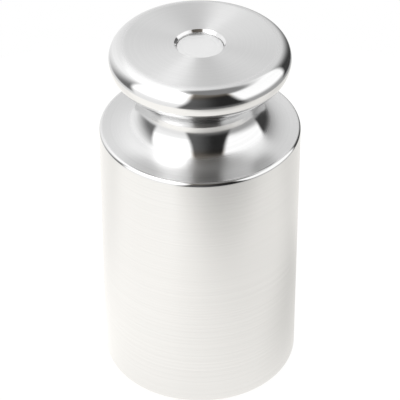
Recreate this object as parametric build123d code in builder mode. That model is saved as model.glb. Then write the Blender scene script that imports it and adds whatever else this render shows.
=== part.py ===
from build123d import *
import math
import os

# One kilogram knob weight, turned from one stainless bar, with an adjusting bore that opens on top of the knob.
# Millimetres. The origin is the centre of the base and +Z runs up the axis.

# Body: a plain cylinder with a flat shoulder round the neck
body_diameter = 46.3
body_height = 65.5
base_edge_radius = 1.6
shoulder_edge_radius = 0.8

# Neck: a hollow foot that runs out flat on the shoulder, a short straight waist, and a hollow head that sweeps
# over into the underside of the knob
neck_diameter = 26.9
neck_foot_radius = 7.35
waist_length = 0.7
neck_head_radius = 5.8
shoulder_flat = 0.6

# Knob: a disc whose edge is two roundings, one from above and one from below, that meet at its widest
knob_diameter = 41.3
knob_under_edge_radius = 5.3
knob_top_edge_radius = 3.7

# Mouth of the bore: the seat of the seal, with the groove that keys the seal in
seal_seat_diameter = 10.7
seal_recess = 0.9
seal_thickness = 1.2
mouth_chamfer = 0.5
key_groove_width = 0.5
key_groove_depth = 0.35

# Adjusting bore: the tapped length under the seat, then the drilled cavity with its point
thread_pitch_diameter = 9.35
tapped_length = 9.0
cavity_diameter = 9.0
cavity_floor_height = 10.0
drill_point_angle = 118.0

# Closing plug: a brass grub screw, driven by its slot
plug_length = 6.0
plug_edge_chamfer = 0.5
plug_slot_width = 1.6
plug_slot_depth = 2.0

# Seal: its edge is rounded, and the pressing tool leaves a shallow ring round its face
seal_edge_radius = 0.15
press_ring_inset = 1.45
press_ring_width = 0.5
press_ring_depth = 0.05

# Adjusting shot: steel balls in layers round the wall of the cavity
shot_diameter = 4.2
shot_layers = 3

# Clearances
seal_clearance = 0.02
thread_clearance = 0.03
plug_drop = 0.2
shot_clearance = 0.04

# Radii that follow
body_radius = body_diameter / 2
neck_radius = neck_diameter / 2
knob_radius = knob_diameter / 2
seat_radius = seal_seat_diameter / 2
thread_radius = thread_pitch_diameter / 2
cavity_radius = cavity_diameter / 2
shot_radius = shot_diameter / 2

# The foot of the neck is a fillet, so the width of the shoulder limits it
shoulder_width = body_radius - shoulder_edge_radius - neck_radius
foot_radius = min(neck_foot_radius, shoulder_width - shoulder_flat)

# The head of the neck meets the underside of the knob in one smooth reverse curve, which sets how high the
# knob stands
knob_overhang = knob_radius - neck_radius
reverse_radii = neck_head_radius + knob_under_edge_radius
reverse_turn = math.degrees(math.acos(1 - knob_overhang / reverse_radii))
head_level = body_height + foot_radius + waist_length
knob_widest_level = head_level + reverse_radii * math.sin(math.radians(reverse_turn))
knob_top = knob_widest_level + knob_top_edge_radius

# Levels down the bore
seal_top = knob_top - seal_recess
seat_floor = seal_top - seal_thickness
key_groove_level = seat_floor + seal_thickness / 2
plug_top = seat_floor - plug_drop
thread_foot = seat_floor - tapped_length
drill_point_height = cavity_radius / math.tan(math.radians(drill_point_angle / 2))

os.makedirs("parts", exist_ok=True)

# The weight: its outline is revolved, then the stepped bore is taken out of it
with BuildPart() as weight_body:
    with BuildSketch(Plane.XZ):
        with BuildLine():
            base = Line((0, 0), (body_radius - base_edge_radius, 0))
            base_edge = JernArc(base @ 1, base % 1, base_edge_radius, 90)
            wall = Line(base_edge @ 1, (body_radius, body_height - shoulder_edge_radius))
            shoulder_edge = JernArc(wall @ 1, wall % 1, shoulder_edge_radius, 90)
            shoulder = Line(shoulder_edge @ 1, (neck_radius + foot_radius, body_height))
            foot = JernArc(shoulder @ 1, shoulder % 1, foot_radius, -90)
            waist = Line(foot @ 1, (neck_radius, head_level))
            head = JernArc(waist @ 1, waist % 1, neck_head_radius, -reverse_turn)
            under_edge = JernArc(head @ 1, head % 1, knob_under_edge_radius, reverse_turn)
            top_edge = JernArc(under_edge @ 1, under_edge % 1, knob_top_edge_radius, 90)
            Line(top_edge @ 1, (0, knob_top))
            Line((0, knob_top), (0, 0))
        make_face()
    revolve(axis=Axis.Z)
    with BuildSketch(Plane.XZ):
        with BuildLine():
            Polyline(
                (0, knob_top),
                (seat_radius + mouth_chamfer, knob_top),
                (seat_radius, knob_top - mouth_chamfer),
                (seat_radius, key_groove_level + key_groove_width / 2),
                (seat_radius + key_groove_depth, key_groove_level),
                (seat_radius, key_groove_level - key_groove_width / 2),
                (seat_radius, seat_floor),
                (thread_radius, seat_floor),
                (thread_radius, thread_foot),
                (cavity_radius, thread_foot),
                (cavity_radius, cavity_floor_height + drill_point_height),
                (0, cavity_floor_height),
                close=True,
            )
        make_face()
    revolve(axis=Axis.Z, mode=Mode.SUBTRACT)
weight_body.part.label = "weight_body"
export_step(weight_body.part, "parts/weight_body.step")

# The closing plug: chamfered at both ends and slotted across its top
plug_radius = thread_radius - thread_clearance
with BuildPart() as closing_plug:
    with BuildSketch(Plane.XY.offset(plug_top)):
        Circle(plug_radius)
    extrude(amount=-plug_length)
    chamfer(closing_plug.edges().filter_by(GeomType.CIRCLE), length=plug_edge_chamfer)
    with BuildSketch(Plane.XY.offset(plug_top)):
        Rectangle(2 * plug_radius + 1, plug_slot_width)
    extrude(amount=-plug_slot_depth, mode=Mode.SUBTRACT)
closing_plug.part.label = "closing_plug"
export_step(closing_plug.part, "parts/closing_plug.step")

# The seal: a soft disc lying on the seat, with its edge spread into the key groove
seal_radius = seat_radius - seal_clearance
seal_bead_radius = seal_radius + key_groove_depth
seal_bead_half = key_groove_width / 2 - seal_clearance
ring_radius = seal_radius - press_ring_inset
with BuildPart() as seal_disc:
    with BuildSketch(Plane.XZ):
        with BuildLine():
            Polyline(
                (0, seat_floor),
                (seal_radius, seat_floor),
                (seal_radius, key_groove_level - seal_bead_half),
                (seal_bead_radius, key_groove_level),
                (seal_radius, key_groove_level + seal_bead_half),
                (seal_radius, seal_top),
                (ring_radius + press_ring_width / 2, seal_top),
                (ring_radius, seal_top - press_ring_depth),
                (ring_radius - press_ring_width / 2, seal_top),
                (0, seal_top),
                close=True,
            )
        make_face()
    revolve(axis=Axis.Z)
    fillet(seal_disc.edges().group_by(Axis.Z)[-1].sort_by(SortBy.RADIUS)[-1], radius=seal_edge_radius)
seal_disc.part.label = "seal_disc"
export_step(seal_disc.part, "parts/seal_disc.step")

# The adjusting shot: as many balls as fit round the wall, the lowest layer down on the drill point, and each
# layer turned half a step so that its balls lie in the hollows of the layer below
ball_offset = cavity_radius - shot_radius - shot_clearance
ball_spacing = shot_diameter + shot_clearance
half_point = math.radians(drill_point_angle / 2)
lowest_ball = (shot_radius + shot_clearance + ball_offset * math.cos(half_point)) / math.sin(half_point)
if ball_spacing > 2 * ball_offset:
    layer_count = 1
else:
    layer_count = math.floor(math.pi / math.asin(ball_spacing / (2 * ball_offset)))
half_step = 180 / layer_count
hollow_reach = 2 * ball_offset * math.sin(math.radians(half_step / 2))
layer_rise = math.sqrt(ball_spacing**2 - hollow_reach**2)
with BuildPart() as adjusting_shot:
    for layer in range(shot_layers):
        with Locations(Plane.XY.offset(cavity_floor_height + lowest_ball + layer * layer_rise)):
            with PolarLocations(ball_offset, layer_count, start_angle=half_step * (layer % 2)):
                Sphere(shot_radius)
adjusting_shot.part.label = "adjusting_shot"
export_step(adjusting_shot.part, "parts/adjusting_shot.step")

print(f"height {knob_top:.2f} mm, steel {weight_body.part.volume / 1000:.2f} cm3")
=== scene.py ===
# %% [markdown]
# # A one kilogram knob weight
#
# This weight is turned from one bar of stainless steel: a plain cylinder, a polished groove that fingers
# or a lifting fork go into, and a round knob. A hole in the top of the knob leads to a small cavity where
# the maker trims the weight to its exact mass, and a soft metal disc seals it. Bare metal has almost no
# colour of its own, so the lesson is about two things: an exact outline, and what the metal mirrors.

import math

import bmesh
import bpy
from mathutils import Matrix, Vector


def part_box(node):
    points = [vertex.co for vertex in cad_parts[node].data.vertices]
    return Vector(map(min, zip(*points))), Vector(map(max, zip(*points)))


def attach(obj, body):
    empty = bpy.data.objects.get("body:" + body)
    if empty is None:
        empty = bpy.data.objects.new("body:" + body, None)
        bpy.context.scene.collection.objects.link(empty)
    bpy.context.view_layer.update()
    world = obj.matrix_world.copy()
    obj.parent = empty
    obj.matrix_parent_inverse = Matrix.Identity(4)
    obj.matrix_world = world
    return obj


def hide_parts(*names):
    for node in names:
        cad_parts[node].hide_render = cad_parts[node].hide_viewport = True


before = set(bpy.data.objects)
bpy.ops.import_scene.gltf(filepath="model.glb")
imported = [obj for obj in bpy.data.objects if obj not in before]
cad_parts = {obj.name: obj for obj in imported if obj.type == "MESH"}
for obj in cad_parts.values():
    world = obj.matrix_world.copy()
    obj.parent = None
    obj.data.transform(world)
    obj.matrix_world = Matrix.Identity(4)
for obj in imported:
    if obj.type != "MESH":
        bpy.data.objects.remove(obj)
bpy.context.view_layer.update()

# %% [markdown]
# ## The sizes
#
# A turned part is drawn by its radii and its levels, in millimetres, as on a workshop drawing. The outline
# is a chain of straight runs and arcs that touch without a corner, so only a few sizes set all of it. The
# height of the knob isn't one of them: the groove and the rounding under the knob meet in a smooth reverse
# curve, and that fixes it. Comparing the result with the frame shows whether the two drawings agree.

# %% Sizes in millimetres
MM = 0.001

body_radius = 23.15
body_height = 65.5
base_edge_radius = 1.6
shoulder_edge_radius = 0.8
neck_radius = 13.45
foot_radius = 7.35
waist_land = 0.7
head_radius = 5.8
knob_radius = 20.65
under_edge_radius = 5.3
top_edge_radius = 3.7

seat_radius = 5.35
mouth_chamfer = 0.5
seal_recess = 0.9
seal_thickness = 1.2
key_groove_width = 0.5
key_groove_depth = 0.35
thread_radius = 4.675
tapped_length = 9.0
cavity_radius = 4.5
cavity_floor = 10.0
drill_point_angle = 118.0

overhang = (knob_radius - neck_radius) / (head_radius + under_edge_radius)
reverse_turn = math.acos(1 - overhang)
waist_level = body_height + foot_radius
head_level = waist_level + waist_land
widest_level = head_level + (head_radius + under_edge_radius) * math.sin(reverse_turn)
knob_top = widest_level + top_edge_radius
seal_top = knob_top - seal_recess
seat_floor = seal_top - seal_thickness
key_level = seat_floor + seal_thickness / 2
thread_foot = seat_floor - tapped_length
drill_point = cavity_radius / math.tan(math.radians(drill_point_angle / 2))

low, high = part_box("weight_body")
print(f"the base is at {low.z / MM:.3f} mm in the frame")
print(f"knob top {knob_top:.3f} mm here, {high.z / MM:.3f} mm in the frame")
print(f"body radius {body_radius:.3f} mm here, {high.x / MM:.3f} mm in the frame")

# %% [markdown]
# ## The camera
#
# A long lens from a little way off keeps the sides of the weight nearly parallel, and a raised camera shows
# the knob's top and the shoulder as wide ellipses.

# %% Camera
camera_rise = math.radians(37.318)
camera_distance = 528.55
camera_aim = 43.554
camera_lens = 201.94

camera_data = bpy.data.cameras.new("camera")
camera_data.lens = camera_lens
camera_data.sensor_width = 36.0
camera_data.clip_start = 0.01
camera = bpy.data.objects.new("camera", camera_data)
bpy.context.scene.collection.objects.link(camera)
aim = Vector((0, 0, camera_aim)) * MM
back = Vector((0, -math.cos(camera_rise), math.sin(camera_rise)))
camera.location = aim + back * camera_distance * MM
camera.rotation_euler = back.to_track_quat("Z", "Y").to_euler()
bpy.context.scene.camera = camera
print("camera at", [round(c, 3) for c in camera.location])

# %% [markdown]
# ## Drawing with a turning tool
#
# A lathe cuts the outline while the bar turns. The same happens here: one vertex is the tip of the tool. A
# straight cut extrudes the vertex and moves it, and a rounding spins the vertex about the middle of the arc,
# and each leaves its edges behind. Each vertex remembers the number of its cut, so that later each face can
# be given the finish that its cut had.

# %% The tool: straight cuts and round cuts
SPIN_STEPS = 192


class Outline:
    """An outline in the XZ plane, drawn cut by cut. The cuts' finishes are kept in order."""

    def __init__(self, start):
        self.bm = bmesh.new()
        self.cut = self.bm.verts.layers.int.new("cut")
        self.tip = bmesh.ops.create_vert(self.bm, co=(start[0], 0, start[1]))["vert"][0]
        self.finishes = [None]

    def begin(self, finish):
        self.finishes.append(finish)

    def line(self, finish, *ends):
        """Straight runs to each end in turn, all with one finish."""
        self.begin(finish)
        for x, z in ends:
            self.tip = bmesh.ops.extrude_vert_indiv(self.bm, verts=[self.tip])["verts"][0]
            bmesh.ops.translate(self.bm, verts=[self.tip], vec=Vector((x, 0, z)) - self.tip.co)
            self.tip[self.cut] = len(self.finishes) - 1

    def arc(self, finish, centre, degrees, steps):
        """An arc about a centre, anticlockwise as seen from the front."""
        self.begin(finish)
        before = set(self.bm.verts)
        made = bmesh.ops.spin(
            self.bm, geom=[self.tip], cent=(centre[0], 0, centre[1]), axis=(0, -1, 0),
            angle=math.radians(degrees), steps=steps, use_merge=False,
        )
        for vert in set(self.bm.verts) - before:
            vert[self.cut] = len(self.finishes) - 1
        self.tip = next(g for g in made["geom_last"] if isinstance(g, bmesh.types.BMVert))

    def turn(self, name, materials):
        """Spins the outline round the axis and returns a closed, smooth object in metres."""
        bm = self.bm
        bmesh.ops.spin(
            bm, geom=bm.verts[:] + bm.edges[:], cent=(0, 0, 0), axis=(0, 0, 1),
            angle=math.tau, steps=SPIN_STEPS, use_merge=True,
        )
        bmesh.ops.remove_doubles(bm, verts=bm.verts, dist=1e-5)
        bmesh.ops.recalc_face_normals(bm, faces=bm.faces)
        bmesh.ops.scale(bm, vec=(MM, MM, MM), verts=bm.verts)
        order = list(materials)
        for face in bm.faces:
            face.smooth = True
            finish = self.finishes[max(vert[self.cut] for vert in face.verts)]
            face.material_index = order.index(finish)
        for edge in bm.edges:
            edge.smooth = edge.calc_face_angle(0) < math.radians(25)
        mesh = bpy.data.meshes.new(name)
        bm.to_mesh(mesh)
        bm.free()
        for finish in order:
            mesh.materials.append(materials[finish])
        piece = bpy.data.objects.new(name, mesh)
        bpy.context.scene.collection.objects.link(piece)
        print(name, "has", len(mesh.polygons), "faces")
        return piece


# %% [markdown]
# ## Colours
#
# Colours are written as the hex values that a screen shows, and one function turns them to the linear values
# that light is added up in.


# %% Hex to linear
def linear(hex_colour, alpha=1.0):
    """A hex colour as linear red, green and blue."""
    parts = [int(hex_colour[i : i + 2], 16) / 255 for i in (1, 3, 5)]
    return tuple(c / 12.92 if c <= 0.04045 else ((c + 0.055) / 1.055) ** 2.4 for c in parts) + (alpha,)


print("#808080 on a screen is", round(linear("#808080")[0], 3), "in linear light")

# %% [markdown]
# ## Nodes
#
# A material is a tree of nodes. One function adds a node of any kind, gives it its settings and joins its
# inputs, so that a material reads from top to bottom like a recipe. Another starts an empty one.


# %% Nodes and empty materials
def add(tree, kind, settings=None, **inputs):
    """Adds a node of a kind, applies settings, and fills or links the inputs given by name or number."""
    node = tree.nodes.new(kind)
    for key, value in (settings or {}).items():
        setattr(node, key, value)
    for key, value in inputs.items():
        slot = node.inputs[int(key[1:])] if key[0] == "i" and key[1:].isdigit() else node.inputs[key]
        if isinstance(value, bpy.types.NodeSocket):
            tree.links.new(value, slot)
        else:
            slot.default_value = value
    return node


def new_material(name):
    """An empty node material and its tree."""
    material = bpy.data.materials.new(name)
    material.use_nodes = True
    material.node_tree.nodes.clear()
    return material, material.node_tree


# %% [markdown]
# ## Turning marks
#
# The tip of a turning tool leaves a very fine spiral. Across the marks the surface is rough, along them it is
# almost a mirror, and that is why turned metal shows bright and dark wedges on a flat face and soft
# upright bands on a wall. The shader's anisotropy does that part, and the marks that can be seen one by one
# are a noise that changes fast across them and hardly at all along them. On a wall the distance across the
# marks is the height, and on a flat face it is the radius. Real marks are 0.05 to 0.1 mm apart, finer than
# the render shows, so they are drawn 0.4 mm apart.

# %% Marks of the tool
MARK_SPACING = 0.4
ROUND_DRIFT = 0.15  # how far the noise moves on round the weight: a small step keeps the marks whole


def out_from_axis(tree):
    """The way from the turning axis to a point of the surface, in metres."""
    place = add(tree, "ShaderNodeTexCoord").outputs["Object"]
    return add(tree, "ShaderNodeVectorMath", {"operation": "MULTIPLY"}, i0=place, i1=(1, 1, 0)).outputs[0]


def radius_of(tree):
    """Distance from the turning axis, in metres."""
    return add(tree, "ShaderNodeVectorMath", {"operation": "LENGTH"}, i0=out_from_axis(tree)).outputs["Value"]


def turning_marks(tree, face_turned):
    """A height between 0 and 1 that follows the tool's marks."""
    place = add(tree, "ShaderNodeTexCoord").outputs["Object"]
    level = add(tree, "ShaderNodeSeparateXYZ", i0=place).outputs[2]
    across = radius_of(tree) if face_turned else level
    scaled = add(tree, "ShaderNodeMath", {"operation": "DIVIDE"}, i0=across, i1=MARK_SPACING * MM).outputs[0]
    lift = add(tree, "ShaderNodeCombineXYZ", i2=scaled).outputs[0]
    way_out = add(tree, "ShaderNodeVectorMath", {"operation": "NORMALIZE"}, i0=out_from_axis(tree)).outputs[0]
    where = add(tree, "ShaderNodeVectorMath", {"operation": "MULTIPLY_ADD"}, i0=way_out,
                i1=(ROUND_DRIFT, ROUND_DRIFT, ROUND_DRIFT), i2=lift).outputs[0]
    return add(tree, "ShaderNodeTexNoise", Vector=where, Scale=1.0, Detail=2.0, Roughness=0.6).outputs["Fac"]


print(f"marks are drawn {MARK_SPACING} mm apart, {body_height / MARK_SPACING:.0f} of them up the wall")

# %% [markdown]
# ## Stainless steel, as the cut leaves it
#
# Stainless steel mirrors about two thirds of the light, nearly the same at every colour. The wall, the
# shoulder and the knob's top are as the last fine cut left them: satin, with marks that differ a little in
# height, in gloss and in tone. The foot of the groove and the edge of the knob run from the satin of a cut
# into a polish, so there the roughness changes between two radii and the marks fade out.
#
# The tangent of a turned piece runs round it, and a quarter turn of the anisotropy puts the rough direction
# across the marks.

# %% Turned steel
STEEL = "#D6D6D6"
STEEL_MARK_LOW = "#D4D4D4"
STEEL_MARK_HIGH = "#D8D8D8"
POLISH = 0.10
ACROSS_MARKS = 0.25


def turned_steel(name, face_turned, satin, anisotropy, depth=0.004, polish_from=None, polish_to=None):
    """Steel as turned, with marks of a depth in millimetres. Between the radii polish_from and polish_to it
    changes from satin to a polish."""
    material, tree = new_material(name)
    height = turning_marks(tree, face_turned)
    gloss = add(tree, "ShaderNodeMapRange", Value=height, **{"To Min": satin * 0.85, "To Max": satin * 1.15})
    roughness = gloss.outputs[0]
    strength = 1.0
    if polish_from is not None:
        change = add(tree, "ShaderNodeMapRange", {"interpolation_type": "SMOOTHSTEP"}, Value=radius_of(tree),
                     **{"From Min": polish_from * MM, "From Max": polish_to * MM}).outputs[0]
        roughness = add(tree, "ShaderNodeMix", i0=change, i2=roughness, i3=POLISH).outputs[0]
        strength = add(tree, "ShaderNodeMath", {"operation": "SUBTRACT"}, i0=1.0, i1=change).outputs[0]
    bump = add(tree, "ShaderNodeBump", Height=height, Strength=strength, Distance=depth * MM).outputs[0]
    lines = add(tree, "ShaderNodeMapRange", Value=height, **{"From Min": 0.35, "From Max": 0.65}).outputs[0]
    tone = add(tree, "ShaderNodeMix", {"data_type": "RGBA"}, i0=lines,
               i6=linear(STEEL_MARK_LOW), i7=linear(STEEL_MARK_HIGH)).outputs[2]
    shader = add(tree, "ShaderNodeBsdfPrincipled", Metallic=1.0, Roughness=roughness, Normal=bump,
                 Anisotropic=anisotropy, **{"Base Color": tone, "Anisotropic Rotation": ACROSS_MARKS})
    add(tree, "ShaderNodeOutputMaterial", Surface=shader.outputs[0])
    print(name, "has a roughness of", satin)
    return material


turned_wall = turned_steel("turned_stainless_wall", False, 0.19, 0.6, depth=0.0028)
turned_face = turned_steel("turned_stainless_face", True, 0.36, 0.9)
turned_shoulder = turned_steel("turned_stainless_shoulder", True, 0.33, 0.9)
knob_edge = turned_steel("knob_edge_stainless", True, 0.36, 0.8, polish_from=17.1, polish_to=18.2)
groove_foot = turned_steel("groove_foot_stainless", True, 0.33, 0.9, polish_from=16.6, polish_to=15.1)

# %% [markdown]
# ## Stainless steel, polished
#
# The groove and the rounded edges were polished with a fine cloth while the weight turned. That leaves
# nearly a mirror, with faint streaks round it and clouds where the cloth dwelt. The bore was finished by a
# sharp reamer and is a little brighter still.

# %% Polished steel
STREAK_DEPTH = 0.0015


def bright_steel(name, roughness):
    """Polished steel whose gloss varies in clouds and in streaks round the piece."""
    material, tree = new_material(name)
    place = add(tree, "ShaderNodeTexCoord").outputs["Object"]
    cloud = add(tree, "ShaderNodeTexNoise", Vector=place, Scale=0.3 / MM, Detail=2.0).outputs["Fac"]
    streaks = turning_marks(tree, False)
    blend = add(tree, "ShaderNodeMix", i0=0.5, i2=cloud, i3=streaks).outputs[0]
    gloss = add(tree, "ShaderNodeMapRange", Value=blend,
                **{"From Min": 0.35, "From Max": 0.65, "To Min": roughness * 0.7, "To Max": roughness * 1.4})
    bump = add(tree, "ShaderNodeBump", Height=streaks, Strength=1.0, Distance=STREAK_DEPTH * MM).outputs[0]
    shader = add(tree, "ShaderNodeBsdfPrincipled", Metallic=1.0, Roughness=gloss.outputs[0], Normal=bump,
                 Anisotropic=0.5, **{"Base Color": linear(STEEL), "Anisotropic Rotation": ACROSS_MARKS})
    add(tree, "ShaderNodeOutputMaterial", Surface=shader.outputs[0])
    print(name, "has a roughness of", roughness)
    return material


polished = bright_steel("polished_stainless", POLISH)
bored = bright_steel("bored_stainless", 0.08)

# %% [markdown]
# ## Turning the weight
#
# The outline starts at the middle of the base, runs up the wall, over the shoulder, round the groove and the
# knob, and back down the bore to its drilled point. Straight cuts get an extra vertex close to each end:
# smooth shading averages the normals of neighbouring faces, and the narrow faces there keep that average
# from bending the reflections of the wide ones.

# %% The outline, from the base to the shoulder
guard = 0.25
base_flat = body_radius - base_edge_radius
wall_top = body_height - shoulder_edge_radius
shoulder_out = body_radius - shoulder_edge_radius
shoulder_in = neck_radius + foot_radius

outline = Outline((0, 0))
outline.line("face", (base_flat - guard, 0), (base_flat, 0))
outline.arc("polished", (base_flat, base_edge_radius), 90, 10)
outline.line("wall", (body_radius, base_edge_radius + guard), (body_radius, wall_top - guard),
             (body_radius, wall_top))
outline.arc("polished", (shoulder_out, wall_top), 90, 10)
outline.line("shoulder", (shoulder_out - guard, body_height), (shoulder_in + guard, body_height),
             (shoulder_in, body_height))
print(f"the shoulder's flat runs from {shoulder_in:.2f} to {shoulder_out:.2f} mm")

# %% The outline, round the groove and the knob
top_flat = knob_radius - top_edge_radius
mouth = seat_radius + mouth_chamfer

outline.arc("foot", (shoulder_in, waist_level), -90, 36)
outline.line("polished", (neck_radius, head_level))
outline.arc("polished", (neck_radius + head_radius, head_level), -math.degrees(reverse_turn), 28)
outline.arc("polished", (knob_radius - under_edge_radius, widest_level), math.degrees(reverse_turn), 28)
outline.arc("knob_edge", (top_flat, widest_level), 90, 32)
outline.line("face", (top_flat - guard, knob_top), (mouth + guard, knob_top), (mouth, knob_top))
print(f"the knob's top is flat from {mouth:.2f} to {top_flat:.2f} mm")

# %% The outline, down the bore, and the finished weight
outline.line(
    "bored", (seat_radius, knob_top - mouth_chamfer), (seat_radius, key_level + key_groove_width / 2),
    (seat_radius + key_groove_depth, key_level), (seat_radius, key_level - key_groove_width / 2),
    (seat_radius, seat_floor), (thread_radius, seat_floor), (thread_radius, thread_foot),
    (cavity_radius, thread_foot), (cavity_radius, cavity_floor + drill_point), (0, cavity_floor),
)
weight = outline.turn(
    "turned_weight",
    {"face": turned_face, "wall": turned_wall, "shoulder": turned_shoulder, "foot": groove_foot,
     "knob_edge": knob_edge, "polished": polished, "bored": bored},
)
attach(weight, "root")
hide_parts("weight_body")

# %% [markdown]
# ## The seal
#
# The seal is a disc of soft aluminium, pressed over the plug, with its rim spread into the groove of the
# seat. Its edge is rounded, and the pressing tool left a shallow ring. It is turned like the weight, so that
# its round edge catches the light as a thin line. A pressed sheet has no marks, only an even satin with
# faint clouds.

# %% Seal disc
seal_clearance = 0.02
seal_radius = seat_radius - seal_clearance
seal_edge_radius = 0.15
ring_inset = 1.45
ring_radius = seal_radius - ring_inset
ring_half = 0.25
ring_depth = 0.05
bead_half = key_groove_width / 2 - seal_clearance


def pressed_sheet(name, colour, roughness):
    """Soft aluminium with the even, slightly cloudy satin of a pressed sheet."""
    material, tree = new_material(name)
    place = add(tree, "ShaderNodeTexCoord").outputs["Object"]
    cloud = add(tree, "ShaderNodeTexNoise", Vector=place, Scale=0.6 / MM, Detail=3.0).outputs["Fac"]
    gloss = add(tree, "ShaderNodeMapRange", Value=cloud,
                **{"To Min": roughness * 0.85, "To Max": roughness * 1.15}).outputs[0]
    bump = add(tree, "ShaderNodeBump", Height=cloud, Strength=1.0, Distance=0.002 * MM).outputs[0]
    shader = add(tree, "ShaderNodeBsdfPrincipled", Roughness=gloss, Normal=bump, Metallic=1.0,
                 **{"Base Color": linear(colour)})
    add(tree, "ShaderNodeOutputMaterial", Surface=shader.outputs[0])
    return material


pressed_aluminium = pressed_sheet("pressed_aluminium", "#E8E8E8", 0.5)
disc = Outline((0, seat_floor))
disc.line("aluminium", (seal_radius, seat_floor), (seal_radius, key_level - bead_half),
          (seal_radius + key_groove_depth, key_level), (seal_radius, key_level + bead_half),
          (seal_radius, seal_top - seal_edge_radius))
disc.arc("aluminium", (seal_radius - seal_edge_radius, seal_top - seal_edge_radius), 90, 8)
disc.line("aluminium", (ring_radius + 1.5 * ring_half, seal_top), (ring_radius + ring_half, seal_top),
          (ring_radius, seal_top - ring_depth), (ring_radius - ring_half, seal_top),
          (ring_radius - 1.5 * ring_half, seal_top), (0, seal_top))
seal = disc.turn("pressed_seal", {"aluminium": pressed_aluminium})
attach(seal, "root")
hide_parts("seal_disc")

# %% [markdown]
# ## What is shut inside
#
# The brass plug and the steel shot are hidden under the seal. Their shapes come from the frame as they are,
# and each only gets its own metal: brass is a warm yellow and was left as machined, and the balls of a
# bearing are bright.

# %% Plug and shot
def plain_metal(name, colour, roughness):
    """A bare metal whose gloss varies a little from place to place."""
    material, tree = new_material(name)
    place = add(tree, "ShaderNodeTexCoord").outputs["Object"]
    cloud = add(tree, "ShaderNodeTexNoise", Vector=place, Scale=0.8 / MM, Detail=2.0).outputs["Fac"]
    gloss = add(tree, "ShaderNodeMapRange", Value=cloud,
                **{"To Min": roughness * 0.8, "To Max": roughness * 1.2}).outputs[0]
    shader = add(tree, "ShaderNodeBsdfPrincipled", Roughness=gloss, Metallic=1.0,
                 **{"Base Color": linear(colour)})
    add(tree, "ShaderNodeOutputMaterial", Surface=shader.outputs[0])
    return material


for node, material in (
    ("closing_plug", plain_metal("machined_brass", "#D9BD7A", 0.3)),
    ("adjusting_shot", plain_metal("bright_steel_shot", "#D0D0D2", 0.15)),
):
    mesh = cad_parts[node].data
    mesh.materials.clear()
    mesh.materials.append(material)
    print(node, "is", material.name)

# %% [markdown]
# ## The white table
#
# The weight stands on a white board. The board is a disc that ends a hand's breadth from the weight, because
# polished steel shows where a table ends.

# %% Board
board_radius = 138.0
board_drop = 0.05  # keeps the board from lying in the plane of the base

board = bmesh.new()
bmesh.ops.create_circle(board, cap_ends=True, segments=128, radius=board_radius * MM)
bmesh.ops.translate(board, verts=board.verts, vec=(0, 0, -board_drop * MM))
board_mesh = bpy.data.meshes.new("table")
board.to_mesh(board_mesh)
board.free()
table = bpy.data.objects.new("table", board_mesh)
bpy.context.scene.collection.objects.link(table)
print(f"the table is {2 * board_radius:.0f} mm across")

# %% [markdown]
# ## Two whites for the table
#
# To the camera the board is as white as the room behind it, apart from the shadow at the foot of the weight:
# a share of plain white light covers most of the matt white under it, and the rest lets the shadow through.
# Mirrored in steel, the board glows with its own painted light instead, and four things paint it lighter or
# darker: painted lighter on the left, next to the brighter screen, painted darker at the front right corner,
# a painted soft shadow of the weight on the right, and painted darker behind the weight.

# %% The board's white
CLEAR_SHARE = 0.85
CLEAR_LEVEL = 1.07
ROOM_LEVEL = 1.18  # steel keeps two thirds of the light, so the room it mirrors is a little over white
# the slant of the painted shade that darkens the table's front right corner
PAINTED_SHADE_SLANT = -0.45
# the middle of a painted soft shadow of the weight, on the table to its right
PAINTED_SHADOW_MIDDLE = (34, 12, 0)

table_white_and_painted_shade, tree = new_material("table_white_and_painted_shade")
place = add(tree, "ShaderNodeTexCoord").outputs["Object"]
side = add(tree, "ShaderNodeSeparateXYZ", i0=place).outputs
painted_shade_corner = add(tree, "ShaderNodeMath", {"operation": "MULTIPLY_ADD"}, i0=side[0], i1=PAINTED_SHADE_SLANT,
             i2=side[1]).outputs[0]
painted_shadow_distance = add(tree, "ShaderNodeVectorMath", {"operation": "DISTANCE"}, i0=place,
             i1=tuple(c * MM for c in PAINTED_SHADOW_MIDDLE)).outputs["Value"]
painted_light = ROOM_LEVEL
# Each row paints light or shade: the kind of change, what it goes by, from and to in millimetres, and the
# painted light at both ends
for kind, where, start, end, at_start, at_end in (
    ("SMOOTHSTEP", side[0], -50, 50, 1.18, 0.96),
    ("LINEAR", painted_shade_corner, -150, -82, 0.48, 1.0),
    ("SMOOTHSTEP", painted_shadow_distance, 8, 40, 0.8, 1.0),
    ("SMOOTHSTEP", side[1], -10, 35, 1.0, 0.88),
):
    change = add(tree, "ShaderNodeMapRange", {"interpolation_type": kind}, Value=where,
                 **{"From Min": start * MM, "From Max": end * MM, "To Min": at_start, "To Max": at_end})
    painted_light = add(tree, "ShaderNodeMath", {"operation": "MULTIPLY"}, i0=painted_light, i1=change.outputs[0]).outputs[0]

ray = add(tree, "ShaderNodeLightPath").outputs
matt = add(tree, "ShaderNodeBsdfDiffuse", Color=linear("#F7F5F1")).outputs[0]
clear = add(tree, "ShaderNodeEmission", Color=(1, 1, 1, 1), Strength=CLEAR_LEVEL).outputs[0]
share = add(tree, "ShaderNodeMath", {"operation": "MULTIPLY"}, i0=ray["Is Camera Ray"], i1=CLEAR_SHARE)
to_eye = add(tree, "ShaderNodeMixShader", i0=share.outputs[0], i1=matt, i2=clear).outputs[0]
# mirrored rays see the table's painted light and shade, not its lit white
painted_mirror_light = add(tree, "ShaderNodeEmission", Color=linear("#FFFDF9"), Strength=painted_light).outputs[0]
both = add(tree, "ShaderNodeMixShader", i0=ray["Is Glossy Ray"], i1=to_eye, i2=painted_mirror_light).outputs[0]
add(tree, "ShaderNodeOutputMaterial", Surface=both)
table.data.materials.append(table_white_and_painted_shade)
print("the table's white has", len(tree.nodes), "nodes")

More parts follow.
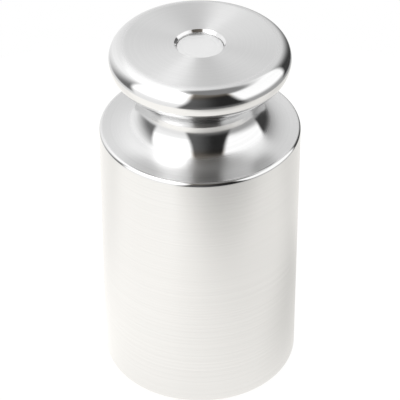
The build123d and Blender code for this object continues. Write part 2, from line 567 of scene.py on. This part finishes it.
# %% [markdown]
# ## The room that the metal mirrors
#
# Polished steel shows the room that it stands in. This room is painted on the world, by direction: a large
# white screen to the left of the camera and another to the right, a dark gap between them where the camera
# stands, a pale backdrop behind, and dark corners where the screens end. The direction is turned into
# angles in degrees: a compass angle, 0 at the camera and positive to the right, the same angle counted from
# the middle of the back wall, so that neither is cut where it is needed, and a height.

# %% Angles for every direction
world = bpy.data.worlds.new("studio")
bpy.context.scene.world = world
world.use_nodes = True
sky = world.node_tree
sky.nodes.clear()
ray_way = add(sky, "ShaderNodeTexCoord").outputs["Generated"]
way = add(sky, "ShaderNodeSeparateXYZ", i0=ray_way).outputs
toward = add(sky, "ShaderNodeMath", {"operation": "MULTIPLY"}, i0=way[1], i1=-1.0).outputs[0]
front_turn = add(sky, "ShaderNodeMath", {"operation": "ARCTAN2"}, i0=way[0], i1=toward)
back_turn = add(sky, "ShaderNodeMath", {"operation": "ARCTAN2"}, i0=way[0], i1=way[1])
rise = add(sky, "ShaderNodeMath", {"operation": "ARCSINE"}, i0=way[2])
compass, compass_back, height = (
    add(sky, "ShaderNodeMath", {"operation": "DEGREES"}, i0=turn.outputs[0]).outputs[0]
    for turn in (front_turn, back_turn, rise)
)
print("turning a direction into angles takes", len(sky.nodes), "nodes")

# %% [markdown]
# ## Masks with soft edges
#
# Every part of the room is a light value laid over what was there before, as with stencils and paint. A
# stencil is a number between 0 and 1 for every direction: 1 is inside. Its edges are soft, because the real
# edges of screens and walls are out of focus in a satin or a slightly rough mirror. Light values are shares
# of the room's level, and the numbers in a stencil are degrees.

# %% Stencils
def slope(value, start, end):
    """0 at start, 1 at end, and smooth between. With start above end it falls instead of rising."""
    return add(sky, "ShaderNodeMapRange", {"interpolation_type": "SMOOTHSTEP"}, Value=value,
               **{"From Min": start, "From Max": end}).outputs[0]


def inside_all(first, *others):
    """The part that several stencils share."""
    for other in others:
        first = add(sky, "ShaderNodeMath", {"operation": "MULTIPLY"}, i0=first, i1=other).outputs[0]
    return first


def patch(left, right, bottom, top, soft):
    """A stencil between two compass angles and two heights, with the middles of its edges there."""
    return inside_all(
        slope(compass, left - soft, left + soft), slope(compass, right + soft, right - soft),
        slope(height, bottom - soft, bottom + soft), slope(height, top + 2 * soft, top - 2 * soft),
    )


def right_of(level, middle, bend):
    """How far a direction is to the right of an edge, in degrees. The edge stands at a compass angle where
    the height is the middle one, and bows sideways above and below it."""
    off_middle = add(sky, "ShaderNodeMath", {"operation": "SUBTRACT"}, i0=height, i1=middle).outputs[0]
    squared = add(sky, "ShaderNodeMath", {"operation": "MULTIPLY"}, i0=off_middle, i1=off_middle).outputs[0]
    edge = add(sky, "ShaderNodeMath", {"operation": "MULTIPLY_ADD"}, i0=squared, i1=bend, i2=level).outputs[0]
    return add(sky, "ShaderNodeMath", {"operation": "SUBTRACT"}, i0=compass, i1=edge).outputs[0]


def lay(under, over, *stencils):
    """Lays one light value over another inside all the stencils."""
    return add(sky, "ShaderNodeMix", i0=inside_all(*stencils), i2=under, i3=over).outputs[0]


# %% [markdown]
# ## Walls and far table
#
# The back wall is lighter on the left, and most of all high up. The two corners where a screen ends and the
# wall begins are dark, and the far edges of that dark slant. The far part of the table is seen low down,
# beyond the edge of the board.

# %% Back wall, corners and far table
LOW_LEFT, HIGH_LEFT, WALL_RIGHT = 1.2, 1.42, 0.8
LEFT_DARK, RIGHT_DARK = 0.18, 0.05
TABLE_LEFT, TABLE_RIGHT = 0.87, 0.4
SEAM = 4  # half the width of the seam in the middle of the wall, where its two sides meet

low_wall = lay(LOW_LEFT, WALL_RIGHT, slope(compass_back, -85, 15))
high_wall = lay(HIGH_LEFT, WALL_RIGHT, slope(compass_back, -85, 35))
back_wall = lay(low_wall, high_wall, slope(height, 30, 44))
right_slant = add(sky, "ShaderNodeMath", {"operation": "SUBTRACT"}, i0=height, i1=compass_back).outputs[0]
left_slant = add(sky, "ShaderNodeMath", {"operation": "ADD"}, i0=compass_back, i1=height).outputs[0]
right_corner = lay(RIGHT_DARK, back_wall, slope(right_slant, -48, 4))
left_corner = lay(LEFT_DARK, back_wall, slope(left_slant, -93, -33))
room = lay(back_wall, right_corner, slope(compass_back, -SEAM, SEAM))
room = lay(room, left_corner, slope(compass_back, SEAM, -SEAM))
far_table = lay(TABLE_LEFT, TABLE_RIGHT, slope(compass_back, 0, 50))
room = lay(room, far_table, slope(height, -18, -26))
print("walls, corners and far table:", len(sky.nodes), "nodes so far")

# %% [markdown]
# ## Screens and lamp
#
# The left screen is the brighter one, and a lamp shines through it high up. The right screen bows away at its
# far edge and fades out above. Below each screen is its foot: pale on the left, darker on the right.

# %% Screens and lamp
LEFT_SCREEN, RIGHT_SCREEN = 1.4, 1.25
LEFT_FOOT_LOW, LEFT_FOOT_HIGH, RIGHT_FOOT = 1.0, 1.15, 0.42
LAMP = 4.3
LAMP_WAY = (-0.47, -0.25, 0.846)

left_foot = lay(LEFT_FOOT_LOW, LEFT_FOOT_HIGH, slope(height, -20, -8))
room = lay(room, left_foot, patch(-86, 0, -90, -4, 5))
room = lay(room, LEFT_SCREEN, patch(-86, 0, -90, 130, 4), slope(height, -12, 0))
near_lamp = add(sky, "ShaderNodeVectorMath", {"operation": "DOT_PRODUCT"}, i0=ray_way, i1=LAMP_WAY)
room = lay(room, LAMP, slope(near_lamp.outputs["Value"], 0.945, 0.985))
room = lay(room, RIGHT_FOOT, patch(30, 117, -90, -4, 4))
room = lay(room, RIGHT_SCREEN, slope(right_of(116, 0, 0.006), 4, -4), slope(compass, 20, 28),
           slope(height, -18, 0), slope(height, 65, 45))
print("with the screens and the lamp:", len(sky.nodes), "nodes so far")

# %% [markdown]
# ## Ceiling and gap
#
# The ceiling is dark right above the weight, a little to the right. In front, between the screens, stands
# the dark gap with the camera in it. Its two sides bow, it is darkest on the right, and its upper part gets
# a little warm light from the room behind the camera.

# %% Ceiling and gap
CEILING = 0.26
CEILING_WAY = (0.18, -0.104, 0.978)
GAP_LEFT, GAP_RIGHT, GAP_HIGH, GAP_LOW = 0.125, 0.02, 0.21, 0.15
WARM = "#FFF3E4"

near_ceiling = add(sky, "ShaderNodeVectorMath", {"operation": "DOT_PRODUCT"}, i0=ray_way, i1=CEILING_WAY)
above = near_ceiling.outputs["Value"]
room = lay(room, CEILING, slope(above, 0.895, 0.97))
gap = lay(GAP_LEFT, GAP_RIGHT, slope(compass, -14, 26))
gap = lay(gap, GAP_HIGH, slope(height, 40, 70))
gap = lay(gap, GAP_LOW, slope(height, -14, -28))
in_gap = inside_all(slope(right_of(-14, 40, -0.0027), -5, 5), slope(right_of(43.5, 30, 0.0045), 5, -5),
                    slope(above, 0.97, 0.94))
room = lay(room, gap, in_gap)
tint = add(sky, "ShaderNodeMix", {"data_type": "RGBA"}, i0=inside_all(in_gap, slope(height, 25, 50)),
           i6=(1, 1, 1, 1), i7=linear(WARM)).outputs[2]
print("the whole room:", len(sky.nodes), "nodes")

# %% [markdown]
# ## Who sees the room
#
# Only mirrored rays see the painted room. The camera and the table see plain white, at a strength of 1, so
# that a colour renders about as it is written. The standard view keeps it that way on the screen.

# %% Light of the room
room = add(sky, "ShaderNodeMath", {"operation": "MULTIPLY"}, i0=room, i1=ROOM_LEVEL).outputs[0]
painted = add(sky, "ShaderNodeBackground", Color=tint, Strength=room).outputs[0]
plain = add(sky, "ShaderNodeBackground", Color=(1, 1, 1, 1), Strength=1.0).outputs[0]
glossy = add(sky, "ShaderNodeLightPath").outputs["Is Glossy Ray"]
seen = add(sky, "ShaderNodeMixShader", i0=glossy, i1=plain, i2=painted).outputs[0]
add(sky, "ShaderNodeOutputWorld", Surface=seen)
bpy.context.scene.view_settings.view_transform = "Standard"
print("view:", bpy.context.scene.view_settings.view_transform)
